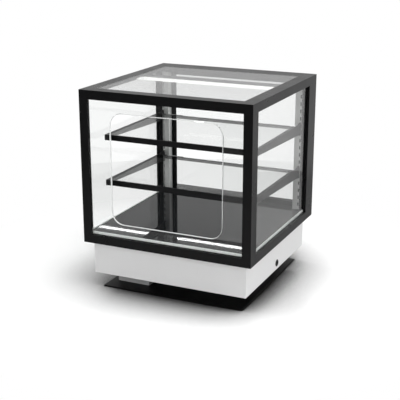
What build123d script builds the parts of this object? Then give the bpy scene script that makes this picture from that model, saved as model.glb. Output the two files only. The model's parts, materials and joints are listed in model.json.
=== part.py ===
"""Drop-in heated display case: a glazed box frame on a white base tub.

Millimetres, +Z up, X to the customer's right, Y from the customer to the server.
The origin is on the floor, under the middle of the square plan.
"""

import os

from build123d import *

# Plan and heights of the whole case
WIDTH = 600.0
HALF = WIDTH / 2
FRAME_Z = 168.0
FRAME_HEIGHT = 516.0
TOP_Z = FRAME_Z + FRAME_HEIGHT

# Square steel sections of the black frame
RAIL_HEIGHT = 30.0
BOTTOM_RAIL_WIDTH = 43.0
TOP_RAIL_WIDTH = 42.0
REAR_TOP_RAIL_WIDTH = 70.0
TOP_FLANGE_HEIGHT = 15.0
REAR_TOP_RAIL_HEIGHT = 25.0
POST_WIDTH = 30.0
FRONT_POST_DEPTH = 45.0
REAR_POST_DEPTH = 72.0
WALL = 2.0
EDGE_RADIUS = 0.8

# Glass panels and the grooves that hold them
GLASS = 6.0
GLASS_RECESS = 8.0
GROOVE_DEPTH = 8.0
ROOF_LEDGE = 4.0
FLANGE_CLEARANCE = 0.4
CUTOUT_WIDTH = 394.0
CUTOUT_CENTRE_X = 3.0
CUTOUT_BOTTOM = 75.0
CUTOUT_TOP = 447.0
CUTOUT_RADIUS = 42.0

# Heated deck
DECK_HALF = 284.0
DECK_REAR_Y = 258.0
HEATER_HALF = 240.0
HEATER_THICK = 6.0
TRAY_THICK = 1.2

# Slotted uprights and the two cantilever shelves
UPRIGHT_WIDTH = 25.0
UPRIGHT_DEPTH = 26.0
UPRIGHT_FRONT_Y = 230.0
UPRIGHT_WALL = 1.5
SLOT_PITCH = 26.0
SLOT_DROP = 9.0
SLOTS_BELOW = 5
SLOT_HEIGHT = 13.0
SLOT_WIDTH = 4.6
SHELF_TOPS = {"lower": FRAME_Z + 194.5, "upper": FRAME_Z + 350.5}
SHELF_FRONT_Y = -199.0
SHELF_REAR_Y = 186.0
ARM_OUTER_X = 267.0
ARM_THICK = 3.0
ARM_FRONT_HEIGHT = 20.0
ARM_REAR_HEIGHT = 37.0
ARM_TAPER_Y = 200.0
ARM_EAR = (12.0, 4.0)
ARM_HEEL = 5.0
HOOK_DROP = 5.0
HOOK_REACH = 7.0
HOOK_GAP = 3.0
HOOK_HEIGHT = 9.0
HOOK_NECK = 6.0
SHELF_RAIL_HEIGHT = 18.5
SHELF_LEDGE = 10.0
SHELF_LEDGE_THICK = 3.0
SHELF_REAR_RAIL = (12.0, 9.0)

# Light bar under the roof
LIGHT_FRONT_Y = 61.0
LIGHT_REAR_Y = 121.0
LIGHT_BOTTOM = FRAME_Z + 488.0
LIGHT_HEIGHT = 11.0
LIGHT_HALF = 284.0
STRIP_WIDTH = 20.0
STRIP_INSET = 10.0

# Rear door, hung on pivots at the server's left
DOOR_HALF = 267.5
DOOR_FRONT_Y = 262.0
DOOR_THICK = 18.0
DOOR_BOTTOM = FRAME_Z + RAIL_HEIGHT + 1.5
DOOR_TOP = TOP_Z - REAR_TOP_RAIL_HEIGHT - 1.5
STILE_WIDTH = 30.5
DOOR_BOTTOM_RAIL = 21.5
DOOR_TOP_RAIL = 8.0
DOOR_GLASS = 4.0
DOOR_GROOVE = 6.0
DOOR_TOP_GROOVE = 2.5
PIVOT_X = 260.5
PIVOT_Y = 275.5
PIVOT_RADIUS = 3.5
PIVOT_CLEARANCE = 0.05
PIVOT_REACH = 25.0
BUSH_RADIUS = 5.5
BUSH_FLANGE = (8.0, 1.1)
LOW_BUSH_DEPTH = 10.0
HIGH_BUSH_DEPTH = 9.0
PIN_GAP = 2.0
CATCH_X = -202.5
STRIKE_SIZE = (19.0, 10.0)
STRIKE_RISE = 5.0
MAGNET_SIZE = (25.0, 12.0)
MAGNET_GAP = 0.4
HANDLE_X = -252.0
HANDLE_Z = (FRAME_Z + 210.0, FRAME_Z + 340.0)
HANDLE_BAR = (12.0, 6.0)

# White base tub and what stands under it
BASE_HALF = 276.0
BASE_BOTTOM = 55.0
BASE_TOP = 169.5
SHEET = 1.5
BASE_TOP_FLANGE = 40.0
BASE_BOTTOM_FLANGE = 12.0
PLATE_HALF = 255.0
PLATE_THICK = 3.0
LEG_RADIUS = 12.0
LEG_PLACES = [(-190, -60), (190, -60), (-190, 190), (190, 190)]
BOX_X = (-231.0, -111.0)
BOX_Y = (-196.0, -96.0)
TERMINAL_PITCH = 13.0
TERMINAL_SIZE = (12.0, 28.0, 18.0)
TERMINAL_HOLE = (2.5, 8.0)
TERMINAL_REACH = 8.0
GROMMET_Y = 5.0
GROMMET_Z = FRAME_Z - 90.0
GROMMET_HOLE_RADIUS = 10.0
GROMMET_BORE_RADIUS = 5.0
GROMMET_EDGE = 0.9

# Server's controls on the back of the base
PANEL_X = (40.0, 240.0)
PANEL_Z = (76.0, 150.0)
PANEL_THICK = 1.5
CONTROL_Z = 113.0
KNOB_X = 80.0
KNOB_RADIUS = 19.0
KNOB_DEPTH = 17.0
SHAFT_RADIUS = 3.0
THERMOSTAT_HALF = 18.0
THERMOSTAT_DEPTH = 28.0
SWITCH_XS = {"power": 140.0, "light": 180.0}
SWITCH_WINDOW = (9.5, 13.3)
SWITCH_BODY = (11.0, 14.8)
SWITCH_BEZEL = (13.0, 17.0, 2.0)
SWITCH_DEPTH = 14.0
ROCKER_HALF_WIDTH = 9.1
ROCKER_TILT = 9.0
ROCKER_PIN_RADIUS = 1.2
ROCKER_HALF_HEIGHT = 12.5
ROCKER_CREST = 3.2
ROCKER_WAIST = 1.6
ROCKER_ROOT = (6.0, 10.0)
LAMP_X = 215.0
LAMP_RADIUS = 5.0
LAMP_DEPTH = 12.0
SCREW_INSET = 6.0


def block(x_range, y_range, z_range):
    """A box between two values on each axis."""
    spans = [x_range, y_range, z_range]
    middle = [(low + high) / 2 for low, high in spans]
    size = [high - low for low, high in spans]
    return Pos(*middle) * Box(*size)


def mirrored(sign, low, high):
    """A range on the right-hand side, or its mirror image on the left."""
    return (low, high) if sign > 0 else (-high, -low)


def along_x(points, x_range):
    """A prism of (y, z) points that runs along X."""
    face = Plane.YZ * make_face(Polyline(*points, close=True))
    return Pos(x_range[0], 0, 0) * extrude(face, amount=x_range[1] - x_range[0])


def along_y(points, y_range):
    """A prism of (x, z) points that runs along Y."""
    face = Plane.XZ * make_face(Polyline(*points, close=True))
    return Pos(0, y_range[1], 0) * extrude(face, amount=y_range[1] - y_range[0])


def along_z(points, z_range):
    """A prism of (x, y) points that runs along Z."""
    face = make_face(Polyline(*points, close=True))
    return Pos(0, 0, z_range[0]) * extrude(face, amount=z_range[1] - z_range[0])


def rod_x(radius, y, z, x_range):
    """A cylinder that runs along X."""
    length = x_range[1] - x_range[0]
    return Pos(sum(x_range) / 2, y, z) * Rot(0, 90, 0) * Cylinder(radius, length)


def rod_y(radius, x, z, y_range):
    """A cylinder that runs along Y."""
    length = y_range[1] - y_range[0]
    return Pos(x, sum(y_range) / 2, z) * Rot(90, 0, 0) * Cylinder(radius, length)


def rod_z(radius, x, y, z_range):
    """A cylinder that runs along Z."""
    return Pos(x, y, sum(z_range) / 2) * Cylinder(radius, z_range[1] - z_range[0])


def side_prism(side, profile):
    """A full-length prism along one side of the plan, from (inward, z) points."""
    sign = -1 if side in ("front", "left") else 1
    points = [(sign * (HALF - inward), z) for inward, z in profile]
    if side in ("front", "rear"):
        return along_x(points, (-HALF, HALF))
    return along_y(points, (-HALF, HALF))


def rectangle(inward, z_range):
    """The four corners of a rectangular (inward, z) profile."""
    (near, far), (low, high) = inward, z_range
    return [(near, low), (far, low), (far, high), (near, high)]


def mitre_prism(side, front, rear, across, z_range):
    """The plan shape of one rail of a ring, mitred where it meets its neighbours."""
    inner_x, inner_front, inner_rear = HALF - across, HALF - front, HALF - rear
    corners = {
        "front": [(-HALF, -HALF), (HALF, -HALF), (inner_x, -inner_front), (-inner_x, -inner_front)],
        "rear": [(-HALF, HALF), (-inner_x, inner_rear), (inner_x, inner_rear), (HALF, HALF)],
        "left": [(-HALF, -HALF), (-inner_x, -inner_front), (-inner_x, inner_rear), (-HALF, HALF)],
        "right": [(HALF, -HALF), (HALF, HALF), (inner_x, inner_rear), (inner_x, -inner_front)],
    }
    return along_z(corners[side], z_range)


def bottom_rail(side):
    """A hollow bottom rail, rebated below for the tub, with the groove that the glass stands in."""
    z_range = (FRAME_Z, FRAME_Z + RAIL_HEIGHT)
    width = BOTTOM_RAIL_WIDTH
    flange = HALF - BASE_HALF - FLANGE_CLEARANCE
    profile = [
        (0, z_range[0]),
        (flange, z_range[0]),
        (flange, BASE_TOP),
        (width, BASE_TOP),
        (width, z_range[1]),
        (0, z_range[1]),
    ]
    body = side_prism(side, profile)
    body &= mitre_prism(side, width, width, width, z_range)
    hollow_start = WALL if side == "rear" else GLASS_RECESS + GLASS + WALL
    core = rectangle((hollow_start, width - WALL), (BASE_TOP + WALL, z_range[1] - WALL))
    body -= side_prism(side, core)
    if side != "rear":
        groove = (GLASS_RECESS, GLASS_RECESS + GLASS)
        body -= side_prism(side, rectangle(groove, (z_range[1] - GROOVE_DEPTH, z_range[1])))
    else:
        body -= rod_z(BUSH_RADIUS, PIVOT_X, PIVOT_Y, (z_range[1] - WALL, z_range[1]))
    return body


def top_rail_height(side):
    """The underside of a top rail's flange."""
    return TOP_Z - (REAR_TOP_RAIL_HEIGHT if side == "rear" else TOP_FLANGE_HEIGHT)


def top_rail_envelope(side):
    """A top rail without its hollow: a flange, and a lip over the glass on all sides but the rear."""
    bottom = top_rail_height(side)
    lip = TOP_Z - RAIL_HEIGHT
    profile = rectangle((0, REAR_TOP_RAIL_WIDTH), (bottom, TOP_Z))
    if side != "rear":
        width = TOP_RAIL_WIDTH
        profile = [
            (0, lip),
            (GLASS_RECESS, lip),
            (GLASS_RECESS, bottom),
            (width, bottom),
            (width, TOP_Z),
            (0, TOP_Z),
        ]
    body = side_prism(side, profile)
    return body & mitre_prism(side, TOP_RAIL_WIDTH, REAR_TOP_RAIL_WIDTH, TOP_RAIL_WIDTH, (FRAME_Z, TOP_Z))


def top_rail(side):
    """A hollow top rail with a ledge that carries the roof glass."""
    width = REAR_TOP_RAIL_WIDTH if side == "rear" else TOP_RAIL_WIDTH
    bottom = top_rail_height(side)
    body = top_rail_envelope(side)
    body -= side_prism(side, rectangle((WALL, width - WALL), (bottom + WALL, TOP_Z - WALL)))
    ledge_z = TOP_Z - GLASS
    ledge = side_prism(side, rectangle((width - WALL, width + ROOF_LEDGE), (ledge_z - WALL, ledge_z)))
    front = TOP_RAIL_WIDTH + ROOF_LEDGE
    rear = REAR_TOP_RAIL_WIDTH * front / TOP_RAIL_WIDTH
    ledge &= mitre_prism(side, front, rear, front, (FRAME_Z, TOP_Z))
    body += ledge
    if side == "rear":
        body -= rod_z(BUSH_RADIUS, PIVOT_X, PIVOT_Y, (bottom, bottom + WALL))
    return body


def front_post(sign, top_rails):
    """A front post of angle section, whose flanges cover the edges of two panels."""
    z_range = (FRAME_Z + RAIL_HEIGHT, TOP_Z - TOP_FLANGE_HEIGHT)
    across = mirrored(sign, HALF - POST_WIDTH, HALF)
    post = block(across, (-HALF, -HALF + GLASS_RECESS), z_range)
    side = mirrored(sign, HALF - GLASS_RECESS, HALF)
    post += block(side, (-HALF, -HALF + FRONT_POST_DEPTH), z_range)
    return post - top_rails


def rear_post(sign, top_rails):
    """A rear post, grooved in front for the side glass."""
    z_range = (FRAME_Z + RAIL_HEIGHT, TOP_Z - TOP_FLANGE_HEIGHT)
    inner, front = HALF - POST_WIDTH, HALF - REAR_POST_DEPTH
    post = block(mirrored(sign, inner, HALF), (front, HALF), z_range)
    glass = (HALF - GLASS_RECESS - GLASS, HALF - GLASS_RECESS)
    post -= block(mirrored(sign, *glass), (front, front + GROOVE_DEPTH), z_range)
    core_front = front + GROOVE_DEPTH + WALL
    post -= block(mirrored(sign, inner + WALL, HALF - WALL), (core_front, HALF - WALL), z_range)
    return post - top_rails


def frame_parts():
    """The welded black frame, member by member."""
    parts = {}
    for side in ("front", "rear", "left", "right"):
        parts[f"bottom_rail_{side}"] = bottom_rail(side)
        parts[f"top_rail_{side}"] = top_rail(side)
    ring = [top_rail_envelope(side) for side in ("front", "rear", "left", "right")]
    for name, sign in (("left", -1), ("right", 1)):
        parts[f"front_post_{name}"] = front_post(sign, ring)
        parts[f"rear_post_{name}"] = rear_post(sign, ring)
    return parts


def side_glass(sign):
    """A side panel, from the front post's flange to the rear post's groove."""
    y_range = (-HALF + GLASS_RECESS, HALF - REAR_POST_DEPTH + GROOVE_DEPTH)
    x_range = mirrored(sign, HALF - GLASS_RECESS - GLASS, HALF - GLASS_RECESS)
    return block(x_range, y_range, glass_heights())


def glass_heights():
    """Every upright panel stands in a rail's groove and reaches the flange above."""
    return (FRAME_Z + RAIL_HEIGHT - GROOVE_DEPTH, TOP_Z - TOP_FLANGE_HEIGHT)


def front_glass():
    """The front panel with its rounded opening, which customers reach through."""
    edge = HALF - GLASS_RECESS - GLASS
    y_range = (-HALF + GLASS_RECESS, -HALF + GLASS_RECESS + GLASS)
    panel = block((-edge, edge), y_range, glass_heights())
    height = CUTOUT_TOP - CUTOUT_BOTTOM
    middle_z = FRAME_Z + (CUTOUT_TOP + CUTOUT_BOTTOM) / 2
    outline = Plane.XZ * RectangleRounded(CUTOUT_WIDTH, height, CUTOUT_RADIUS)
    opening = Pos(CUTOUT_CENTRE_X, y_range[1], middle_z) * extrude(outline, amount=GLASS)
    panel -= opening
    reach = CUTOUT_WIDTH / 2 + 1
    rim = panel.edges().filter_by(lambda edge: abs(edge.center().X - CUTOUT_CENTRE_X) < reach)
    rim = rim.filter_by(lambda edge: glass_heights()[0] + 1 < edge.center().Z < glass_heights()[1] - 1)
    rim = rim.filter_by(lambda edge: abs(edge.center().Y - sum(y_range) / 2) > GLASS / 4)
    return chamfer(rim, EDGE_RADIUS)


def roof_glass():
    """The roof panel, level with the rails and carried on their ledges."""
    half = HALF - TOP_RAIL_WIDTH
    return block((-half, half), (-half, HALF - REAR_TOP_RAIL_WIDTH), (TOP_Z - GLASS, TOP_Z))


def edge_beads():
    """Three silicone beads between the deck and the feet of the upright panels."""
    z_range = (FRAME_Z + RAIL_HEIGHT, FRAME_Z + RAIL_HEIGHT + GLASS)
    inner = HALF - GLASS_RECESS - GLASS
    rear = HALF - REAR_POST_DEPTH
    sides = [block(mirrored(sign, DECK_HALF, inner), (-DECK_HALF, rear), z_range) for sign in (-1, 1)]
    return Compound(children=[block((-inner, inner), (-inner, -DECK_HALF), z_range), *sides])


def deck_glass():
    """The black glass deck, notched round the rear posts."""
    z_range = (FRAME_Z + RAIL_HEIGHT, FRAME_Z + RAIL_HEIGHT + GLASS)
    deck = block((-DECK_HALF, DECK_HALF), (-DECK_HALF, DECK_REAR_Y), z_range)
    inner = HALF - POST_WIDTH
    for sign in (-1, 1):
        deck -= block(mirrored(sign, inner, HALF), (HALF - REAR_POST_DEPTH, HALF), z_range)
    return deck


def deck_parts():
    """The heated deck: glass, heater, insulation and the tray that holds them."""
    deck_bottom = FRAME_Z + RAIL_HEIGHT
    heater_bottom = deck_bottom - HEATER_THICK
    tray_half = HALF - BOTTOM_RAIL_WIDTH - EDGE_RADIUS
    tray_top = BASE_TOP + TRAY_THICK
    side = (-HEATER_HALF, HEATER_HALF)
    return {
        "deck_glass": deck_glass(),
        "deck_heater": block(side, side, (heater_bottom, deck_bottom)),
        "deck_insulation": block(side, side, (tray_top, heater_bottom)),
        "heater_tray": block((-tray_half, tray_half), (-tray_half, tray_half), (BASE_TOP, tray_top)),
    }


def upright(sign):
    """A slotted channel on a rear post's inner face, open at the back."""
    z_range = (FRAME_Z + RAIL_HEIGHT + GLASS, TOP_Z - REAR_TOP_RAIL_HEIGHT)
    outer = HALF - POST_WIDTH
    inner = outer - UPRIGHT_WIDTH
    y_range = (UPRIGHT_FRONT_Y, UPRIGHT_FRONT_Y + UPRIGHT_DEPTH)
    channel = block(mirrored(sign, inner, outer), y_range, z_range)
    hollow = mirrored(sign, inner + UPRIGHT_WALL, outer - UPRIGHT_WALL)
    channel -= block(hollow, (y_range[0] + UPRIGHT_WALL, y_range[1]), z_range)
    slot_x = ARM_OUTER_X - ARM_THICK / 2
    lowest = SHELF_TOPS["lower"] - SLOT_DROP - SLOTS_BELOW * SLOT_PITCH
    front = (y_range[0], y_range[0] + UPRIGHT_WALL)
    count = int((z_range[1] - lowest) / SLOT_PITCH)
    slots = []
    for index in range(count):
        middle = lowest + index * SLOT_PITCH
        across = mirrored(sign, slot_x - SLOT_WIDTH / 2, slot_x + SLOT_WIDTH / 2)
        slots.append(block(across, front, (middle - SLOT_HEIGHT / 2, middle + SLOT_HEIGHT / 2)))
    return channel - slots


def hook(top):
    """One hook's outline: a neck through the slot and a tongue that hangs behind it."""
    face = UPRIGHT_FRONT_Y
    return [
        (face, top),
        (face + HOOK_REACH, top),
        (face + HOOK_REACH, top - HOOK_HEIGHT),
        (face + HOOK_GAP, top - HOOK_HEIGHT),
        (face + HOOK_GAP, top - HOOK_NECK),
        (face, top - HOOK_NECK),
    ]


def shelf_arm(sign, top):
    """A tapering arm, with two hooks in the upright's slots and a ledge for the glass."""
    front = SHELF_FRONT_Y + ARM_THICK
    ear_depth, ear_height = ARM_EAR
    profile = [
        (front, top),
        (ARM_TAPER_Y, top),
        (ARM_TAPER_Y + ear_depth, top + ear_height),
        (UPRIGHT_FRONT_Y, top + ear_height),
        *hook(top - HOOK_DROP),
        *hook(top - HOOK_DROP - SLOT_PITCH),
        (UPRIGHT_FRONT_Y, top - ARM_REAR_HEIGHT - ARM_HEEL),
        (ARM_TAPER_Y, top - ARM_REAR_HEIGHT),
        (front, top - ARM_FRONT_HEIGHT),
    ]
    inner = ARM_OUTER_X - ARM_THICK
    arm = along_x(profile, mirrored(sign, inner, ARM_OUTER_X))
    ledge_top = top - GLASS
    ledge_rear = SHELF_REAR_Y - SHELF_REAR_RAIL[0]
    ledge_front = SHELF_FRONT_Y + ARM_THICK + SHELF_LEDGE
    ledge = block(
        mirrored(sign, inner - SHELF_LEDGE, inner),
        (ledge_front, ledge_rear),
        (ledge_top - SHELF_LEDGE_THICK, ledge_top),
    )
    return arm + ledge


def shelf_parts(name, top):
    """A cantilever shelf: two arms, two rails and the glass that they carry."""
    inner = ARM_OUTER_X - ARM_THICK
    under = top - GLASS
    front = SHELF_FRONT_Y + ARM_THICK
    rail_profile = [
        (SHELF_FRONT_Y, top),
        (front, top),
        (front, under),
        (front + SHELF_LEDGE, under),
        (front + SHELF_LEDGE, under - SHELF_LEDGE_THICK),
        (front, under - SHELF_LEDGE_THICK),
        (front, top - SHELF_RAIL_HEIGHT),
        (SHELF_FRONT_Y, top - SHELF_RAIL_HEIGHT),
    ]
    front_rail = along_x(rail_profile, (-inner, inner))
    for sign in (-1, 1):
        end = mirrored(sign, inner, ARM_OUTER_X)
        front_rail += block(end, (SHELF_FRONT_Y, front), (top - SHELF_RAIL_HEIGHT, top))
    rear_depth, rear_height = SHELF_REAR_RAIL
    rear_range = (SHELF_REAR_Y - rear_depth, SHELF_REAR_Y)
    return {
        f"{name}_shelf_arms": Compound(children=[shelf_arm(-1, top), shelf_arm(1, top)]),
        f"{name}_shelf_front_rail": front_rail,
        f"{name}_shelf_rear_rail": block((-inner, inner), rear_range, (under - rear_height, under)),
        f"{name}_shelf_glass": block((-inner, inner), (front, SHELF_REAR_Y), (under, top)),
    }


def light_parts():
    """The light bar: a folded top and back with end tabs, a lens in front and below, lamps inside."""
    bottom, top = LIGHT_BOTTOM, LIGHT_BOTTOM + LIGHT_HEIGHT
    across = (-LIGHT_HALF, LIGHT_HALF)
    housing_profile = [
        (LIGHT_FRONT_Y + WALL, top - WALL),
        (LIGHT_REAR_Y - WALL, top - WALL),
        (LIGHT_REAR_Y - WALL, bottom),
        (LIGHT_REAR_Y, bottom),
        (LIGHT_REAR_Y, top),
        (LIGHT_FRONT_Y + WALL, top),
    ]
    lens_profile = [
        (LIGHT_FRONT_Y, bottom),
        (LIGHT_REAR_Y - WALL, bottom),
        (LIGHT_REAR_Y - WALL, bottom + WALL),
        (LIGHT_FRONT_Y + WALL, bottom + WALL),
        (LIGHT_FRONT_Y + WALL, top),
        (LIGHT_FRONT_Y, top),
    ]
    middle_y = (LIGHT_FRONT_Y + LIGHT_REAR_Y) / 2
    strip_y = (middle_y - STRIP_WIDTH / 2, middle_y + STRIP_WIDTH / 2)
    strip_half = LIGHT_HALF - STRIP_INSET
    flange_z = TOP_Z - TOP_FLANGE_HEIGHT
    housing = along_x(housing_profile, across)
    for sign in (-1, 1):
        tab = mirrored(sign, HALF - TOP_RAIL_WIDTH + ROOF_LEDGE, LIGHT_HALF)
        housing += block(tab, strip_y, (top, flange_z))
    return {
        "light_housing": housing,
        "light_lens": along_x(lens_profile, across),
        "led_strip": block((-strip_half, strip_half), strip_y, (top - WALL - SHEET, top - WALL)),
    }


def door_stile(sign):
    """A hollow stile of the rear door, solid where the pivots go in."""
    y_range = (DOOR_FRONT_Y, DOOR_FRONT_Y + DOOR_THICK)
    z_range = (DOOR_BOTTOM, DOOR_TOP)
    inner = DOOR_HALF - STILE_WIDTH
    stile = block(mirrored(sign, inner, DOOR_HALF), y_range, z_range)
    core_start = inner + DOOR_GROOVE + WALL
    core = mirrored(sign, core_start, core_start + SHAFT_RADIUS * 2)
    stile -= block(core, (y_range[0] + WALL, y_range[1] - WALL), z_range)
    middle = sum(y_range) / 2
    groove_y = (middle - DOOR_GLASS / 2, middle + DOOR_GLASS / 2)
    groove_z = (DOOR_BOTTOM + DOOR_BOTTOM_RAIL - DOOR_GROOVE, DOOR_TOP - DOOR_TOP_RAIL + DOOR_TOP_GROOVE)
    stile -= block(mirrored(sign, inner, inner + DOOR_GROOVE), groove_y, groove_z)
    if sign > 0:
        stile -= rod_z(PIVOT_RADIUS, PIVOT_X, PIVOT_Y, (DOOR_BOTTOM, DOOR_BOTTOM + PIVOT_REACH))
        stile -= rod_z(PIVOT_RADIUS, PIVOT_X, PIVOT_Y, (DOOR_TOP - PIVOT_REACH, DOOR_TOP))
    return stile


def door_rail(z_range, groove_z):
    """A rail of the rear door, between the stiles."""
    y_range = (DOOR_FRONT_Y, DOOR_FRONT_Y + DOOR_THICK)
    inner = DOOR_HALF - STILE_WIDTH
    middle = sum(y_range) / 2
    rail = block((-inner, inner), y_range, z_range)
    return rail - block((-inner, inner), (middle - DOOR_GLASS / 2, middle + DOOR_GLASS / 2), groove_z)


def door_handle():
    """A slim bow handle on the server's side of the free stile."""
    face = DOOR_FRONT_Y + DOOR_THICK
    width, thick = HANDLE_BAR
    across = (HANDLE_X - width / 2, HANDLE_X + width / 2)
    bow = block(across, (face, HALF), HANDLE_Z)
    gap = (HANDLE_Z[0] + width, HANDLE_Z[1] - width)
    bow -= block(across, (face, HALF - thick), gap)
    outer = bow.edges().filter_by(Axis.X).filter_by(lambda edge: edge.center().Y > HALF - 1)
    return fillet(outer, thick * 0.6)


def catch_strike_box():
    """The space of the steel strike in the door's bottom rail."""
    width, height = STRIKE_SIZE
    bottom = DOOR_BOTTOM + STRIKE_RISE
    across = (CATCH_X - width / 2, CATCH_X + width / 2)
    return block(across, (DOOR_FRONT_Y, DOOR_FRONT_Y + SHEET), (bottom, bottom + height))


def magnet_catch():
    """The magnet that holds the door shut, on the deck's rear edge."""
    width, height = MAGNET_SIZE
    bottom = FRAME_Z + RAIL_HEIGHT + GLASS
    across = (CATCH_X - width / 2, CATCH_X + width / 2)
    return block(across, (DECK_REAR_Y - height, DOOR_FRONT_Y - MAGNET_GAP), (bottom, bottom + height))


def pivot_bush(flange_z, end_z):
    """A flanged bush for one door pivot."""
    flange_radius, flange_thick = BUSH_FLANGE
    up = 1 if end_z > flange_z else -1
    flange = rod_z(flange_radius, PIVOT_X, PIVOT_Y, sorted((flange_z, flange_z - up * flange_thick)))
    sleeve_range = sorted((flange_z - up * flange_thick, end_z))
    bush = flange + rod_z(BUSH_RADIUS, PIVOT_X, PIVOT_Y, sleeve_range)
    return bush - rod_z(PIVOT_RADIUS + PIVOT_CLEARANCE, PIVOT_X, PIVOT_Y, sleeve_range)


def door_parts():
    """The rear door with its handle, pivots, bushes and magnetic catch."""
    top_rail_z = (DOOR_TOP - DOOR_TOP_RAIL, DOOR_TOP)
    bottom_rail_z = (DOOR_BOTTOM, DOOR_BOTTOM + DOOR_BOTTOM_RAIL)
    glass_z = (bottom_rail_z[1] - DOOR_GROOVE, top_rail_z[0] + DOOR_TOP_GROOVE)
    reach = DOOR_HALF - STILE_WIDTH + DOOR_GROOVE
    middle = DOOR_FRONT_Y + DOOR_THICK / 2
    rail_top = FRAME_Z + RAIL_HEIGHT
    rail_under = TOP_Z - REAR_TOP_RAIL_HEIGHT
    low_bush = pivot_bush(rail_top, rail_top - LOW_BUSH_DEPTH)
    high_bush = pivot_bush(rail_under, rail_under + HIGH_BUSH_DEPTH)
    low_pin_z = (rail_top - LOW_BUSH_DEPTH + PIN_GAP, DOOR_BOTTOM + PIVOT_REACH)
    high_pin_z = (DOOR_TOP - PIVOT_REACH, rail_under + HIGH_BUSH_DEPTH - PIN_GAP)
    pins = [rod_z(PIVOT_RADIUS, PIVOT_X, PIVOT_Y, z_range) for z_range in (low_pin_z, high_pin_z)]
    strike = catch_strike_box()
    return {
        "door_stile_hinge": door_stile(1),
        "door_stile_handle": door_stile(-1),
        "door_top_rail": door_rail(top_rail_z, (top_rail_z[0], glass_z[1])),
        "door_bottom_rail": door_rail(bottom_rail_z, (glass_z[0], bottom_rail_z[1])) - strike,
        "door_glass": block((-reach, reach), (middle - DOOR_GLASS / 2, middle + DOOR_GLASS / 2), glass_z),
        "door_handle": door_handle(),
        "door_pivot_pins": Compound(children=pins),
        "pivot_bushes": Compound(children=[low_bush, high_bush]),
        "catch_strike": strike,
        "magnet_catch": magnet_catch(),
    }


def base_casing():
    """The white tub: four folded walls, flanged inwards above and below."""
    z_range = (BASE_BOTTOM, BASE_TOP)
    side = (-BASE_HALF, BASE_HALF)
    shell = block(side, side, z_range)
    corners = shell.edges().filter_by(Axis.Z)
    shell = fillet(corners, SHEET)
    inner = BASE_HALF - SHEET
    shell -= block((-inner, inner), (-inner, inner), (BASE_BOTTOM + SHEET, BASE_TOP - SHEET))
    top_gap = BASE_HALF - BASE_TOP_FLANGE
    shell -= block((-top_gap, top_gap), (-top_gap, top_gap), (BASE_TOP - SHEET, BASE_TOP))
    low_gap = BASE_HALF - BASE_BOTTOM_FLANGE
    shell -= block((-low_gap, low_gap), (-low_gap, low_gap), (BASE_BOTTOM, BASE_BOTTOM + SHEET))
    shell -= rod_x(GROMMET_HOLE_RADIUS, GROMMET_Y, GROMMET_Z, (inner - 1, BASE_HALF + 1))
    return shell - control_holes((inner - 1, BASE_HALF + 1))


def control_holes(y_range):
    """The cut-outs for the thermostat, the switches and the lamp."""
    body_x, body_z = SWITCH_BODY
    z_range = (CONTROL_Z - body_z, CONTROL_Z + body_z)
    holes = [block((x - body_x, x + body_x), y_range, z_range) for x in SWITCH_XS.values()]
    holes.append(rod_y(SHAFT_RADIUS + WALL, KNOB_X, CONTROL_Z, y_range))
    holes.append(rod_y(LAMP_RADIUS, LAMP_X, CONTROL_Z, y_range))
    return holes


def control_plate():
    """The stainless plate that carries the controls."""
    y_range = (BASE_HALF, BASE_HALF + PANEL_THICK)
    plate = block(PANEL_X, y_range, PANEL_Z)
    plate = fillet(plate.edges().filter_by(Axis.Y), WALL)
    return plate - control_holes((y_range[0] - 1, y_range[1] + 1))


def switch_frame(x):
    """A switch's bezel and body, with a window and two bearing holes."""
    face = BASE_HALF + PANEL_THICK
    body_x, body_z = SWITCH_BODY
    window_x, window_z = SWITCH_WINDOW
    bezel_x, bezel_z, bezel_depth = SWITCH_BEZEL
    back = face - SWITCH_DEPTH
    bezel_height = (CONTROL_Z - bezel_z, CONTROL_Z + bezel_z)
    frame = block((x - bezel_x, x + bezel_x), (face, face + bezel_depth), bezel_height)
    frame += block((x - body_x, x + body_x), (back, face), (CONTROL_Z - body_z, CONTROL_Z + body_z))
    window = ((x - window_x, x + window_x), (CONTROL_Z - window_z, CONTROL_Z + window_z))
    frame -= block(window[0], (back + SHEET, face + bezel_depth), window[1])
    bearing = rod_x(ROCKER_PIN_RADIUS + PIVOT_CLEARANCE, face, CONTROL_Z, (x - body_x, x + body_x))
    return frame - bearing


def rocker(x):
    """A rocker, with its upper end pressed in."""
    height, (root_depth, root_half) = ROCKER_HALF_HEIGHT, ROCKER_ROOT
    face = [(ROCKER_CREST, height), (ROCKER_WAIST, 0), (ROCKER_CREST, -height)]
    profile = [*face, (-root_depth, -root_half), (-root_depth, root_half)]
    body = along_x(profile, (-ROCKER_HALF_WIDTH, ROCKER_HALF_WIDTH))
    pin_reach = SWITCH_BODY[0] - FLANGE_CLEARANCE
    body += rod_x(ROCKER_PIN_RADIUS, 0, 0, (-pin_reach, pin_reach))
    return Pos(x, BASE_HALF + PANEL_THICK, CONTROL_Z) * Rot(ROCKER_TILT, 0, 0) * body


def thermostat_knob():
    """A round knob with a flat grip bar across its face."""
    start = BASE_HALF + PANEL_THICK + WALL
    skirt = rod_y(KNOB_RADIUS, KNOB_X, CONTROL_Z, (start, start + KNOB_DEPTH / 3))
    skirt = chamfer(skirt.edges().filter_by(GeomType.CIRCLE).sort_by(Axis.Y)[-1], WALL)
    grip = block(
        (KNOB_X - KNOB_RADIUS / 4, KNOB_X + KNOB_RADIUS / 4),
        (start, start + KNOB_DEPTH),
        (CONTROL_Z - KNOB_RADIUS + WALL, CONTROL_Z + KNOB_RADIUS - WALL),
    )
    grip = fillet(grip.edges().filter_by(Axis.Z), 1.5)
    knob = skirt + grip
    return knob - rod_y(SHAFT_RADIUS, KNOB_X, CONTROL_Z, (start, start + KNOB_DEPTH * 2 / 3))


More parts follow.
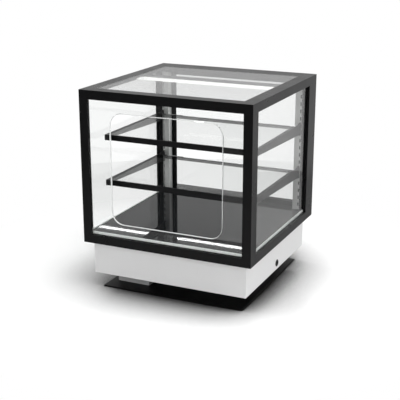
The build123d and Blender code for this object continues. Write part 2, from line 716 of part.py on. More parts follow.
def control_parts():
    """The thermostat, both switches and the pilot lamp."""
    inner = BASE_HALF - SHEET
    face = BASE_HALF + PANEL_THICK
    knob_start = face + WALL
    thermostat = block(
        (KNOB_X - THERMOSTAT_HALF, KNOB_X + THERMOSTAT_HALF),
        (inner - THERMOSTAT_DEPTH, inner),
        (CONTROL_Z - THERMOSTAT_HALF, CONTROL_Z + THERMOSTAT_HALF),
    )
    thermostat += rod_y(SHAFT_RADIUS + WALL, KNOB_X, CONTROL_Z, (inner, face + SHEET))
    shaft_start = inner - THERMOSTAT_DEPTH / 2
    bore = (shaft_start, face + SHEET)
    thermostat -= rod_y(SHAFT_RADIUS + PIVOT_CLEARANCE, KNOB_X, CONTROL_Z, bore)
    shaft_end = knob_start + KNOB_DEPTH * 2 / 3
    shaft = rod_y(SHAFT_RADIUS, KNOB_X, CONTROL_Z, (shaft_start + FLANGE_CLEARANCE, shaft_end))
    lamp = rod_y(LAMP_RADIUS, LAMP_X, CONTROL_Z, (inner - LAMP_DEPTH, face))
    lamp += rod_y(LAMP_RADIUS + WALL, LAMP_X, CONTROL_Z, (face, face + WALL))
    behind = block((LAMP_X - KNOB_RADIUS, LAMP_X + KNOB_RADIUS), (inner, face + WALL / 2), PANEL_Z)
    lamp += Pos(LAMP_X, face + WALL, CONTROL_Z) * Sphere(LAMP_RADIUS) - behind
    screws = []
    for x in (PANEL_X[0] + SCREW_INSET, PANEL_X[1] - SCREW_INSET):
        for z in (PANEL_Z[0] + SCREW_INSET, PANEL_Z[1] - SCREW_INSET):
            screws.append(rod_y(SHAFT_RADIUS, x, z, (face, face + SHEET)))
    return {
        "control_plate": control_plate(),
        "thermostat_body": thermostat,
        "thermostat_shaft": shaft,
        "thermostat_knob": thermostat_knob(),
        "power_rocker": rocker(SWITCH_XS["power"]),
        "light_rocker": rocker(SWITCH_XS["light"]),
        "switch_frames": Compound(children=[switch_frame(x) for x in SWITCH_XS.values()]),
        "pilot_lamp": lamp,
        "plate_screws": Compound(children=screws),
    }


def cable_grommet():
    """A rubber grommet in the base's right wall, flanged on both sides."""
    flange_radius = GROMMET_HOLE_RADIUS + WALL
    inner = BASE_HALF - SHEET
    grommet = rod_x(GROMMET_HOLE_RADIUS, GROMMET_Y, GROMMET_Z, (inner, BASE_HALF))
    grommet += rod_x(flange_radius, GROMMET_Y, GROMMET_Z, (BASE_HALF, BASE_HALF + WALL))
    grommet += rod_x(flange_radius, GROMMET_Y, GROMMET_Z, (inner - WALL, inner))
    outer_rim = grommet.edges().filter_by(GeomType.CIRCLE).sort_by(Axis.X)[-1]
    grommet = fillet(outer_rim, GROMMET_EDGE)
    return grommet - rod_x(GROMMET_BORE_RADIUS, GROMMET_Y, GROMMET_Z, (inner - WALL, BASE_HALF + WALL))


def junction_box():
    """The grey wiring box under the base, open at the top where the base closes it."""
    z_range = (PLATE_THICK, BASE_BOTTOM + SHEET)
    box = block(BOX_X, BOX_Y, z_range)
    box = fillet(box.edges().filter_by(Axis.Z), WALL)
    inside_x = (BOX_X[0] + WALL, BOX_X[1] - WALL)
    inside_y = (BOX_Y[0] + WALL, BOX_Y[1] - WALL)
    return box - block(inside_x, inside_y, (z_range[0] + WALL, z_range[1]))


def terminal_block():
    """Three screw terminals side by side in the wiring box."""
    middle_x, middle_y = sum(BOX_X) / 2, sum(BOX_Y) / 2
    width, depth, height = TERMINAL_SIZE
    hole_radius, hole_depth = TERMINAL_HOLE
    start = PLATE_THICK + WALL
    top = start + height
    y_range = (middle_y - depth / 2, middle_y + depth / 2)
    terminals = []
    for index in (-1, 0, 1):
        x = middle_x + index * TERMINAL_PITCH
        body = block((x - width / 2, x + width / 2), y_range, (start, top))
        for reach in (-TERMINAL_REACH, TERMINAL_REACH):
            body -= rod_z(hole_radius, x, middle_y + reach, (top - hole_depth, top))
        terminals.append(body)
    return Compound(children=terminals)


def base_parts():
    """The base tub, its bottom, and the plate, legs and wiring box beneath it."""
    bottom_half = BASE_HALF - SHEET
    bottom_side = (-bottom_half, bottom_half)
    plate_side = (-PLATE_HALF, PLATE_HALF)
    legs = []
    for x, y in LEG_PLACES:
        tube = rod_z(LEG_RADIUS, x, y, (PLATE_THICK, BASE_BOTTOM + SHEET))
        legs.append(tube - rod_z(LEG_RADIUS - WALL, x, y, (PLATE_THICK, BASE_BOTTOM + SHEET)))
    bottom_z = BASE_BOTTOM + SHEET
    return {
        "base_casing": base_casing(),
        "base_bottom": block(bottom_side, bottom_side, (bottom_z, bottom_z + SHEET)),
        "cable_grommet": cable_grommet(),
        "junction_box": junction_box(),
        "terminal_block": terminal_block(),
        "foot_plate": block(plate_side, plate_side, (0, PLATE_THICK)),
        "spacer_legs": Compound(children=legs),
    }


def all_parts():
    """Every node of the case by name."""
    parts = frame_parts()
    parts["front_glass"] = front_glass()
    parts["left_glass"] = side_glass(-1)
    parts["right_glass"] = side_glass(1)
    parts["roof_glass"] = roof_glass()
    parts["glass_edge_beads"] = edge_beads()
    parts.update(deck_parts())
    parts["upright_left"] = upright(-1)
    parts["upright_right"] = upright(1)
    for name, top in SHELF_TOPS.items():
        parts.update(shelf_parts(name, top))
    parts.update(light_parts())
    parts.update(door_parts())
    parts.update(base_parts())
    parts.update(control_parts())
    return parts


os.makedirs("parts", exist_ok=True)
for node, solid in all_parts().items():
    export_step(solid, f"parts/{node}.step")
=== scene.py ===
"""Studio scene of the drop-in heated display case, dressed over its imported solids."""

import json
import math

import bpy
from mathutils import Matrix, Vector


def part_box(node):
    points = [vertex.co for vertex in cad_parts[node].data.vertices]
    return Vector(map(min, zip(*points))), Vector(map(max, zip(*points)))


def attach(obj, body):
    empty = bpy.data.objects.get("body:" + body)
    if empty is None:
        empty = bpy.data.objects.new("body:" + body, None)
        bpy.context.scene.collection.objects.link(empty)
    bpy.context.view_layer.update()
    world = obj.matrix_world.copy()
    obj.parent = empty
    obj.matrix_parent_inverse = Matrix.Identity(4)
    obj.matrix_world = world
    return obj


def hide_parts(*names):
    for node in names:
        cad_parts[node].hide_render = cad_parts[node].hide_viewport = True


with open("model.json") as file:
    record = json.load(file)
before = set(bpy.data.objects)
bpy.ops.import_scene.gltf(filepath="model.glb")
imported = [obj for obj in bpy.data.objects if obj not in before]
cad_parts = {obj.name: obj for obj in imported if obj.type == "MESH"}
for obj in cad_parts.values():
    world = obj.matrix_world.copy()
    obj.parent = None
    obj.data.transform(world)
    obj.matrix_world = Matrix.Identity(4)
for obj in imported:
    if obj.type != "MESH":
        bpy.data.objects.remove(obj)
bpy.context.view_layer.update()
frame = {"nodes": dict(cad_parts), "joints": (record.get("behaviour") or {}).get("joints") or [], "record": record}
MM = 0.001


def box_of(node):
    """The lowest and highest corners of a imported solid, in millimetres."""
    return [[round(part / MM, 3) for part in corner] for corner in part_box(node)]


def pivot_of(name):
    """The place of a joint, in millimetres."""
    joint = next(row for row in frame["joints"] if row["name"] == name)
    return [round(part / MM, 3) for part in joint["pos_m"]]


# Rounded opening in the front glass, measured from the glass's edges
FRONT_GLASS_LOW, FRONT_GLASS_HIGH = box_of("front_glass")
OPENING_X = (FRONT_GLASS_LOW[0] + 92.0, FRONT_GLASS_HIGH[0] - 86.0)
OPENING_Z = (FRONT_GLASS_LOW[2] + 53.0, FRONT_GLASS_HIGH[2] - 54.0)
OPENING_CORNER = 42.0
POLISHED_WIDTH = 1.1
POLISHED_ROUND = 0.3

# Silicone beads round the deck
DECK_LOW, DECK_HIGH = box_of("deck_glass")
BEAD_WIDTH = 2.0
BEAD_RISE = 2.8
BEAD_RUN = 2.0
BEAD_ROUND = 1.2
BEAD_REAR_Y = box_of("rear_post_left")[0][1]

# Gaskets of the door's glass
DOOR_OPENING_X = (box_of("door_stile_handle")[1][0], box_of("door_stile_hinge")[0][0])
DOOR_OPENING_Z = (box_of("door_bottom_rail")[1][2], box_of("door_top_rail")[0][2])
GASKET_WIDTH = 3.5
GASKET_DEPTH = 3.0
GASKET_ROUND = 0.9

# Control plate, its dial and its screws
PANEL_LOW, PANEL_HIGH = box_of("control_plate")
PANEL_FACE_Y = PANEL_HIGH[1]
INK_HALF = 0.04
DIAL_X, _, DIAL_Z = pivot_of("thermostat_turn")
TICK_INNER = 22.0
TICK_HALF_WIDTH = 0.3
TICK_LONG = 3.2
TICK_SHORT = 2.0
TICK_COUNT = 10
TICK_STEP = 30.0
TICKS_A_NUMBER = 3
NUMBERS = ("0", "30", "60", "90")
NUMBER_SIZE = 6.5
NUMBER_REACH = (29.5, 29.0)
LINE_HALF_WIDTH = 0.7
LINE_RISE = (6.0, 16.0)
LINE_SUNK = 0.1
LINE_PROUD = 0.25
LINE_ROUND = 0.15
KNOB_FACE_Y = box_of("thermostat_knob")[1][1]
SCREW_INSET = 6.0
SCREW_RADIUS = 3.0
SCREW_HEIGHT = 1.5
SCREW_ROUND = 0.55
RECESS_REACH = 1.9
RECESS_HALF_WIDTH = 0.35
RECESS_FLOOR = 0.8
RECESS_TOP = 2.5

# Rockers, whose two faces slope down to the middle
ROCKER_TILT = math.radians(9.0)
ROCKER_HALF_HEIGHT = 12.5
ROCKER_WAIST = 1.6
ROCKER_RISE = 1.6
ROCKER_MARK_SIZE = 6.0
ROCKER_MARK_HEIGHT = 6.8

# Knock-out blanks of the wiring box
BOX_LOW = box_of("junction_box")[0]
BLANK_Z = BOX_LOW[2] + 26.0
FRONT_BLANKS = (30.0, 60.0, 90.0)
SIDE_BLANKS = (30.0, 70.0)
BLANK_RADIUS = 9.0
BLANK_DEPTH = 1.2
BLANK_RIM = 1.4
BLANK_SINK = 0.35
BLANK_ROUND = 0.15

# Edges and curves that a modifier or an operator leaves round
SMOOTH_ANGLE = 0.6
ROUND_SIDES = 32

# Studio, in metres and watts
HORIZON_LEVEL = 0.6
FILL_LEVEL = 0.32
# How far the backdrop goes above white behind a pane, to make up for what the pane takes away
PANE_GAIN = 0.12
CUSTOMER_SIDE_LEVEL = 0.2
FLOOR_RADIUS = 1.6
SHADOW_REACH = 0.3
CONTACT_REACH = 0.05
STRIP_PLACE = (-6.4, 12.0, 5.04)
STRIP_LENGTH = 13.0
STRIP_HEIGHT = 0.05
STRIP_POWER = 20.0
CAMERA_PLACE = (1.2847, -2.8088, 1.2237)
CAMERA_AIM = (-0.0106, 0.0, 0.2674)
CAMERA_LENS = 83.72
CAMERA_SENSOR = 36.0


# Shader sums

class Flow:
    """One output socket, which Python arithmetic can work on."""

    def __init__(self, finish, socket):
        self.finish = finish
        self.socket = socket

    def sum_with(self, operation, first, second):
        return self.finish.node("ShaderNodeMath", {"operation": operation}, {0: first, 1: second})

    def __add__(self, other):
        return self.sum_with("ADD", self, other)

    def __radd__(self, other):
        return self.sum_with("ADD", other, self)

    def __sub__(self, other):
        return self.sum_with("SUBTRACT", self, other)

    def __rsub__(self, other):
        return self.sum_with("SUBTRACT", other, self)

    def __mul__(self, other):
        return self.sum_with("MULTIPLY", self, other)

    def __rmul__(self, other):
        return self.sum_with("MULTIPLY", other, self)

    def greater(self, other):
        return self.sum_with("GREATER_THAN", self, other)

    def larger(self, other):
        return self.sum_with("MAXIMUM", self, other)


class Finish:
    """A node tree that a surface finish or the studio's light is built in."""

    def __init__(self, owner):
        owner.use_nodes = True
        self.tree = owner.node_tree
        self.tree.nodes.clear()

    def node(self, kind, settings=None, inputs=None, output=0):
        """Add one node: its settings first, then its sockets' values or links."""
        made = self.tree.nodes.new(kind)
        for name, value in (settings or {}).items():
            if name == "stops":
                self.set_stops(made.color_ramp, value)
            else:
                setattr(made, name, value)
        for name, value in (inputs or {}).items():
            if isinstance(value, Flow):
                self.tree.links.new(value.socket, made.inputs[name])
            else:
                made.inputs[name].default_value = value
        if output is None:
            return None
        return Flow(self, made.outputs[output])

    def set_stops(self, ramp, stops):
        while len(ramp.elements) < len(stops):
            ramp.elements.new(1.0)
        for element, (place, level) in zip(ramp.elements, stops):
            element.position = place
            element.color = (level, level, level, 1.0)

    def place(self):
        """The piece's own object coordinates."""
        return self.node("ShaderNodeTexCoord", output="Object")

    def noise(self, scale, detail=3.0, roughness=0.5, stretch=(1.0, 1.0, 1.0)):
        """Soft noise from 0 to 1, finer as scale grows, drawn out along an axis by stretch."""
        vector = self.node("ShaderNodeMapping", {}, {"Vector": self.place(), "Scale": stretch})
        settings = {"Vector": vector, "Scale": scale, "Detail": detail, "Roughness": roughness}
        return self.node("ShaderNodeTexNoise", {}, settings, "Fac")

    def bands(self, scale):
        """Even waves across the piece, from 0 to 1."""
        return self.node("ShaderNodeTexWave", {}, {"Vector": self.place(), "Scale": scale})

    def ramp(self, factor, stops):
        return self.node("ShaderNodeValToRGB", {"stops": stops}, {"Fac": factor})

    def mix(self, factor, first, second):
        """A blend of two colours."""
        return self.node("ShaderNodeMix", {"data_type": "RGBA"}, {0: factor, 6: first, 7: second}, 2)

    def bump(self, height, strength, distance, normal=None):
        inputs = {"Strength": strength, "Distance": distance, "Height": height}
        if normal is not None:
            inputs["Normal"] = normal
        return self.node("ShaderNodeBump", {}, inputs)

    def soft_edges(self, radius):
        """Normals that round a sharp edge off."""
        return self.node("ShaderNodeBevel", {"samples": 4}, {"Radius": radius})

    def openness(self, reach, samples):
        """How open a point is: 1 in the open, 0 where something covers it closely."""
        return self.node("ShaderNodeAmbientOcclusion", {"samples": samples}, {"Distance": reach}, "AO")

    def light_path(self, output):
        return self.node("ShaderNodeLightPath", output=output)

    def unmirrored(self):
        """1 on a path that no surface has mirrored yet."""
        return 1.0 - self.light_path("Glossy Depth").greater(0.5)

    def blend(self, factor, first, second):
        """A blend of two shaders."""
        return self.node("ShaderNodeMixShader", {}, {0: factor, 1: first, 2: second})

    def shader(self, **inputs):
        named = {name.replace("_", " "): value for name, value in inputs.items()}
        return self.node("ShaderNodeBsdfPrincipled", {}, named)

    def finish_with(self, shader):
        self.node("ShaderNodeOutputMaterial", {}, {"Surface": shader}, None)


def colour(red, green=None, blue=None):
    """A linear colour with full alpha, grey where only one value is given."""
    return (red, red if green is None else green, red if blue is None else blue, 1.0)


def darker(base, share):
    """A colour brought down to a share of itself."""
    return colour(*[level * share for level in base])


def new_finish(name):
    material = bpy.data.materials.new(name)
    return material, Finish(material)


# Finishes

def painted_steel(name, base, lighter, roughness, peel, specular=0.5, edge=0.0008):
    """Powder coat: a fine orange peel, uneven gloss and a little dust."""
    material, f = new_finish(name)
    peel_height = f.noise(scale=900.0, detail=2.0)
    cloud = f.noise(scale=9.0, detail=4.0, roughness=0.6)
    dust = f.ramp(f.noise(scale=140.0, detail=5.0, roughness=0.7), [(0.60, 0.0), (0.85, 1.0)])
    tint = f.mix(cloud * 0.5, colour(*base), colour(*lighter))
    f.finish_with(f.shader(
        Base_Color=f.mix(dust * 0.06, tint, colour(0.35)),
        Roughness=f.ramp(cloud, [(0.3, roughness - 0.04), (0.7, roughness + 0.05)]),
        Normal=f.bump(peel_height, strength=peel, distance=0.00006, normal=f.soft_edges(edge)),
        Specular_IOR_Level=specular,
    ))
    return material


def clear_pane(name, tint, bending=1.5):
    """Float glass with faint wiping marks, which lets lamp light through."""
    material, f = new_finish(name)
    smear = f.noise(scale=14.0, detail=4.0, roughness=0.6, stretch=(1.0, 1.0, 0.35))
    glass = f.shader(
        Base_Color=f.mix(smear * 0.05, colour(*tint), colour(0.95)),
        Roughness=0.0,
        IOR=bending,
        Transmission_Weight=1.0,
    )
    open_air = f.node("ShaderNodeBsdfTransparent", {}, {"Color": colour(0.95, 0.97, 0.96)})
    f.finish_with(f.blend(f.light_path("Is Shadow Ray"), glass, open_air))
    return material


def black_ceramic_glass():
    """Glass ceramic: deep black with a faint cloud and hairline wiping marks."""
    material, f = new_finish("black glass ceramic")
    cloud = f.noise(scale=6.0)
    wipe = f.noise(scale=60.0, detail=4.0, roughness=0.6, stretch=(0.15, 1.0, 1.0))
    f.finish_with(f.shader(
        Base_Color=f.mix(cloud * 0.5, colour(0.010, 0.010, 0.011), colour(0.020, 0.020, 0.021)),
        Roughness=f.ramp(wipe, [(0.35, 0.008), (0.75, 0.014)]),
        Specular_IOR_Level=0.35,
    ))
    return material


def brushed_metal(name, base, along, roughness=0.34):
    """Metal brushed along one axis, not fully metallic: set to come nearer the photograph."""
    material, f = new_finish(name)
    stretch = tuple(0.02 if axis == along else 1.0 for axis in "xyz")
    grain = f.noise(scale=1600.0, roughness=0.6, stretch=stretch)
    cloud = f.noise(scale=12.0)
    uneven = grain * 0.7 + cloud * 0.3
    f.finish_with(f.shader(
        Base_Color=f.mix(grain * 0.35, colour(*base), darker(base, 0.72)),
        Roughness=f.ramp(uneven, [(0.3, roughness - 0.08), (0.7, roughness + 0.1)]),
        Metallic=0.65,
        Normal=f.bump(grain, strength=0.12, distance=0.00005, normal=f.soft_edges(0.0004)),
    ))
    return material


def galvanised_sheet():
    """Zinc coat with its pattern of crystals."""
    material, f = new_finish("zinc coated sheet")
    cells = f.node("ShaderNodeTexVoronoi", {}, {"Vector": f.place(), "Scale": 75.0}, "Color")
    spangle = f.node("ShaderNodeSeparateColor", {}, {"Color": cells})
    f.finish_with(f.shader(
        Base_Color=f.mix(spangle, colour(0.48, 0.49, 0.50), colour(0.66, 0.67, 0.68)),
        Roughness=f.ramp(spangle, [(0.0, 0.32), (1.0, 0.52)]),
        Metallic=1.0,
    ))
    return material


def plain_metal(name, base, roughness):
    """Turned or rolled metal with a slight bloom."""
    material, f = new_finish(name)
    cloud = f.noise(scale=45.0, detail=4.0)
    fine = f.noise(scale=900.0, detail=2.0)
    f.finish_with(f.shader(
        Base_Color=f.mix(cloud * 0.5, colour(*base), darker(base, 0.8)),
        Roughness=f.ramp(cloud, [(0.3, roughness - 0.06), (0.7, roughness + 0.08)]),
        Metallic=1.0,
        Normal=f.bump(fine, strength=0.08, distance=0.00004),
    ))
    return material


def moulded_plastic(name, base, lighter, roughness, grain_scale=1400.0, grain=0.2):
    """Moulded plastic with a fine spark-eroded texture."""
    material, f = new_finish(name)
    texture = f.noise(scale=grain_scale, detail=2.0)
    cloud = f.noise(scale=25.0)
    f.finish_with(f.shader(
        Base_Color=f.mix(cloud * 0.6, colour(*base), colour(*lighter)),
        Roughness=f.ramp(cloud, [(0.3, roughness - 0.03), (0.7, roughness + 0.05)]),
        Normal=f.bump(texture, strength=grain, distance=0.00006, normal=f.soft_edges(0.0004)),
    ))
    return material


def silicone_bead():
    """Translucent silicone, a little cloudy."""
    material, f = new_finish("clear silicone")
    cloud = f.noise(scale=120.0)
    f.finish_with(f.shader(
        Base_Color=f.mix(cloud, colour(0.78, 0.79, 0.78), colour(0.88, 0.89, 0.88)),
        Roughness=f.ramp(cloud, [(0.3, 0.25), (0.7, 0.4)]),
        Subsurface_Weight=0.2,
        Subsurface_Radius=(0.004, 0.004, 0.004),
    ))
    return material


def glowing_lens():
    """Opal lens lit by the lamps behind it, a little brighter over each one."""
    material, f = new_finish("lit opal lens")
    level = f.ramp(f.bands(scale=16.0), [(0.0, 0.94), (1.0, 1.0)])
    f.finish_with(f.shader(
        Base_Color=f.mix(level, colour(0.9), colour(0.98, 0.97, 0.95)),
        Roughness=0.3,
        Emission_Color=f.mix(level, colour(0.93, 0.93, 0.92), colour(1.0, 0.995, 0.98)),
        Emission_Strength=1.1,
    ))
    return material


def lamp_board():
    """White printed board with a row of lit chips."""
    material, f = new_finish("lamp board")
    chips = f.ramp(f.bands(scale=32.0), [(0.80, 0.0), (0.90, 1.0)])
    f.finish_with(f.shader(
        Base_Color=f.mix(chips, colour(0.82, 0.82, 0.78), colour(0.95, 0.9, 0.6)),
        Roughness=0.5,
        Emission_Color=f.mix(chips, colour(0.0), colour(1.0, 0.98, 0.92)),
        Emission_Strength=1.5,
    ))
    return material


def soft_rubber():
    """Matt rubber with a dusty bloom."""
    material, f = new_finish("matt rubber")
    cloud = f.noise(scale=90.0, detail=4.0, roughness=0.6)
    f.finish_with(f.shader(
        Base_Color=f.mix(cloud * 0.6, colour(0.014), colour(0.035)),
        Roughness=f.ramp(cloud, [(0.3, 0.6), (0.7, 0.8)]),
        Normal=f.bump(f.noise(scale=700.0), strength=0.2, distance=0.00008),
    ))
    return material


def fibre_board():
    """Mineral wool board with short lying fibres."""
    material, f = new_finish("mineral wool")
    fibre = f.noise(scale=500.0, detail=5.0, roughness=0.7, stretch=(0.3, 1.0, 2.0))
    f.finish_with(f.shader(
        Base_Color=f.mix(fibre, colour(0.62, 0.58, 0.45), colour(0.86, 0.83, 0.72)),
        Roughness=0.9,
        Normal=f.bump(fibre, strength=0.6, distance=0.0004),
    ))
    return material


def heater_foil():
    """Mica heater under crinkled foil."""
    material, f = new_finish("heater foil")
    crinkle = f.noise(scale=160.0, detail=4.0, roughness=0.6)
    f.finish_with(f.shader(
        Base_Color=f.mix(crinkle, colour(0.60, 0.57, 0.50), colour(0.80, 0.77, 0.70)),
        Roughness=f.ramp(crinkle, [(0.3, 0.25), (0.7, 0.5)]),
        Metallic=1.0,
        Normal=f.bump(crinkle, strength=0.5, distance=0.0003),
    ))
    return material


def amber_lens():
    """Moulded amber cap of the pilot lamp."""
    material, f = new_finish("amber lamp cap")
    cloud = f.noise(scale=220.0, detail=2.0)
    f.finish_with(f.shader(
        Base_Color=f.mix(cloud, colour(0.75, 0.22, 0.01), colour(0.9, 0.34, 0.02)),
        Roughness=f.ramp(cloud, [(0.3, 0.1), (0.7, 0.18)]),
        Transmission_Weight=0.35,
        Emission_Color=colour(1.0, 0.35, 0.03),
        Emission_Strength=0.25,
    ))
    return material


def polished_edge_with_painted_glow():
    """Ground and polished glass edge, milky, with a painted glow where the light would be caught in it."""
    material, f = new_finish("polished glass edge with painted glow")
    along = f.noise(scale=180.0)
    f.finish_with(f.shader(
        Base_Color=f.mix(along, colour(0.90, 0.92, 0.91), colour(0.97, 0.98, 0.975)),
        Roughness=f.ramp(along, [(0.3, 0.08), (0.7, 0.2)]),
        Transmission_Weight=0.35,
        # Painted highlight: a faint glow along the edge, though the edge is no lamp
        Emission_Color=f.mix(along, colour(0.8), colour(1.0)),
        Emission_Strength=0.12,
    ))
    return material


def printed_ink(name, fresh, worn, wear_share):
    """Printed marking, slightly worn."""
    material, f = new_finish(name)
    wear = f.ramp(f.noise(scale=700.0, detail=4.0, roughness=0.7), [(0.62, 0.0), (0.8, 1.0)])
    f.finish_with(f.shader(
        Base_Color=f.mix(wear * wear_share, colour(fresh), colour(worn)),
        Roughness=f.ramp(wear, [(0.0, 0.4), (1.0, 0.6)]),
    ))
    return material


PANE_TINT = (0.992, 0.998, 0.995)

# The finish of each material slot
FINISHES = {
    "black_frame": painted_steel(
        "black powder coat",
        base=(0.0035, 0.0035, 0.0038),
        lighter=(0.007, 0.007, 0.0075),
        roughness=0.3,
        peel=0.15,
        specular=0.28,
    ),
    "shelf_black": painted_steel(
        "black shelf coat",
        base=(0.005, 0.005, 0.0055),
        lighter=(0.009, 0.009, 0.010),
        roughness=0.32,
        peel=0.15,
        specular=0.28,
    ),
    "white_base": painted_steel(
        "white powder coat",
        base=(0.80, 0.80, 0.80),
        lighter=(0.85, 0.85, 0.85),
        roughness=0.42,
        peel=0.12,
        edge=0.0012,
    ),
    "box_grey": painted_steel(
        "pale grey box coat",
        base=(0.58, 0.58, 0.58),
        lighter=(0.66, 0.66, 0.66),
        roughness=0.4,
        peel=0.2,
    ),
    # Painted shadow in part: a near-black sheet at floor level under the base, put where the case's shadow falls
    "plate_black": painted_steel(
        "black plate and painted shadow",
        base=(0.002, 0.002, 0.002),
        lighter=(0.006, 0.006, 0.006),
        roughness=0.5,
        peel=0.3,
        specular=0.25,
    ),
    "clear_glass": clear_pane("clear float glass", PANE_TINT),
    "deck_glass": black_ceramic_glass(),
    "silicone": silicone_bead(),
    "stainless": brushed_metal("brushed stainless", (0.90, 0.90, 0.89), along="z"),
    "zinc_sheet": galvanised_sheet(),
    "heater_foil": heater_foil(),
    "insulation": fibre_board(),
    "light_lens": glowing_lens(),
    "led_strip": lamp_board(),
    "rubber": soft_rubber(),
    "black_plastic": moulded_plastic(
        "black switch plastic",
        base=(0.012, 0.012, 0.012),
        lighter=(0.02, 0.02, 0.02),
        roughness=0.4,
    ),
    "knob_plastic": moulded_plastic(
        "satin knob plastic",
        base=(0.014, 0.014, 0.014),
        lighter=(0.024, 0.024, 0.024),
        roughness=0.33,
    ),
    "rocker_red": moulded_plastic(
        "red rocker plastic",
        base=(0.46, 0.012, 0.008),
        lighter=(0.55, 0.02, 0.012),
        roughness=0.2,
        grain_scale=900.0,
        grain=0.05,
    ),
    "rocker_black": moulded_plastic(
        "gloss rocker plastic",
        base=(0.01, 0.01, 0.01),
        lighter=(0.018, 0.018, 0.018),
        roughness=0.18,
        grain_scale=900.0,
        grain=0.05,
    ),
    "amber_lamp": amber_lens(),
    "brass": plain_metal("turned brass", (0.66, 0.47, 0.2), roughness=0.28),
    "ceramic_cream": moulded_plastic(
        "cream moulding",
        base=(0.74, 0.68, 0.54),
        lighter=(0.82, 0.77, 0.64),
        roughness=0.45,
    ),
    "screw_steel": plain_metal("zinc plated steel", (0.6, 0.6, 0.6), roughness=0.3),
}

# Finishes that belong to no slot of their own
# The shelves' index is below real glass's 1.5, set to come nearer the photograph's tones
SHELF_PANE = clear_pane("clear shelf glass", PANE_TINT, bending=1.22)
POLISHED_EDGE_WITH_PAINTED_GLOW = polished_edge_with_painted_glow()
WHITE_INK = printed_ink("white printed marking", fresh=0.82, worn=0.5, wear_share=0.5)
BLACK_INK = printed_ink("black printed marking", fresh=0.01, worn=0.12, wear_share=0.3)


def dress_solids():
    """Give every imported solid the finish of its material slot, and the shelf panes their own."""
    for part in frame["record"]["subparts"]:
        name = part["node"]
        finish = SHELF_PANE if name.endswith("shelf_glass") else FINISHES[part["material_slot"]]
        solid = frame["nodes"][name]
        solid.data.materials.clear()
        solid.data.materials.append(finish)


# Modelling steps

def select_only(*pieces):
    """Select some pieces and nothing else, the first one active."""
    bpy.ops.object.select_all(action="DESELECT")
    for piece in pieces:
        piece.select_set(True)
    bpy.context.view_layer.objects.active = pieces[0]


def apply_place(piece):
    """Put the place, turn and size of an object into its mesh."""
    select_only(piece)
    bpy.ops.object.transform_apply(location=True, rotation=True, scale=True)


def start_block(name, low, high):
    """A block between two corners, in millimetres."""
    bpy.ops.object.select_all(action="DESELECT")
    middle = [(a + b) / 2 * MM for a, b in zip(low, high)]
    size = [(b - a) * MM for a, b in zip(low, high)]
    bpy.ops.mesh.primitive_cube_add(size=1.0, location=middle, scale=size)
    piece = bpy.context.object
    piece.name = name
    apply_place(piece)
    return piece


def start_disc(place, radius, depth, turn=0.0):
    """A short cylinder that stands upright like a coin on its edge, in millimetres."""
    bpy.ops.object.select_all(action="DESELECT")
    bpy.ops.mesh.primitive_cylinder_add(
        vertices=ROUND_SIDES,
        radius=radius * MM,
        depth=depth * MM,
        location=[part * MM for part in place],
        rotation=(math.pi / 2, 0.0, turn),
    )
    piece = bpy.context.object
    apply_place(piece)
    return piece


def pick_faces(piece, wanted):
    """Select in edit mode the faces whose middle and normal pass a test."""
    bpy.ops.object.mode_set(mode="OBJECT")
    for corner in piece.data.vertices:
        corner.select = False
    for edge in piece.data.edges:
        edge.select = False
    for face in piece.data.polygons:
        face.select = bool(wanted(face.center, face.normal))
    bpy.ops.object.mode_set(mode="EDIT")
    bpy.ops.mesh.select_mode(type="FACE")


def extrude_by(step):
    """Extrude the selected faces by a step in metres."""
    bpy.ops.mesh.extrude_region_move(TRANSFORM_OT_translate={"value": step})


def use_modifier(piece, kind, **settings):
    """Add a modifier and apply it at once."""
    bpy.context.view_layer.objects.active = piece
    modifier = piece.modifiers.new(kind.lower(), kind)
    for name, value in settings.items():
        setattr(modifier, name, value)
    bpy.ops.object.modifier_apply(modifier=modifier.name)


def round_edges(piece, width, segments=2):
    """Round the sharp edges of a finished shape."""
    use_modifier(
        piece,
        "BEVEL",
        width=width * MM,
        segments=segments,
        limit_method="ANGLE",
        angle_limit=SMOOTH_ANGLE,
    )


def join_all(name, pieces):
    """Make one object of several."""
    select_only(*pieces)
    bpy.ops.object.join()
    pieces[0].name = name
    return pieces[0]


def hand_over(piece, finish, body):
    """Give a finished piece its material and body, and smooth its shading by angle."""
    piece.data.materials.clear()
    piece.data.materials.append(finish)
    select_only(piece)
    bpy.ops.object.shade_smooth_by_angle(angle=SMOOTH_ANGLE)
    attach(piece, body)


def upright_ring(name, across, heights, depths, width, corner=0.0):
    """A rounded rectangular ring that stands across the case, grown inwards by its width."""
    middle = [sum(span) / 2 * MM for span in (across, depths, heights)]
    bpy.ops.object.select_all(action="DESELECT")
    bpy.ops.mesh.primitive_plane_add(size=1.0, location=middle, rotation=(math.pi / 2, 0.0, 0.0))
    ring = bpy.context.object
    ring.name = name
    ring.scale = ((across[1] - across[0]) * MM, (heights[1] - heights[0]) * MM, 1.0)
    apply_place(ring)
    bpy.ops.object.mode_set(mode="EDIT")
    bpy.ops.mesh.select_all(action="SELECT")
    if corner:
        bpy.ops.mesh.bevel(affect="VERTICES", offset=corner * MM, segments=10, profile=0.5)
    bpy.ops.mesh.select_mode(type="FACE")
    bpy.ops.mesh.select_all(action="SELECT")
    bpy.ops.mesh.inset(thickness=width * MM)
    bpy.ops.mesh.delete(type="FACE")
    bpy.ops.object.mode_set(mode="OBJECT")
    use_modifier(ring, "SOLIDIFY", thickness=(depths[1] - depths[0]) * MM, offset=0.0)
    return ring


def stamp(name, words, size, place, lean=0.0):
    """Generic lettering that faces the server, as a thin mesh."""
    bpy.ops.object.select_all(action="DESELECT")
    bpy.ops.object.text_add()
    text = bpy.context.object
    text.name = name
    text.data.body = words
    text.data.size = size * MM
    text.data.extrude = INK_HALF * MM
    text.data.align_x = "CENTER"
    text.data.align_y = "CENTER"
    bpy.ops.object.convert(target="MESH")
    text = bpy.context.object
    text.location = [part * MM for part in place]
    text.rotation_euler = (math.pi / 2 - lean, 0.0, math.pi)
    apply_place(text)
    return text


# Pieces

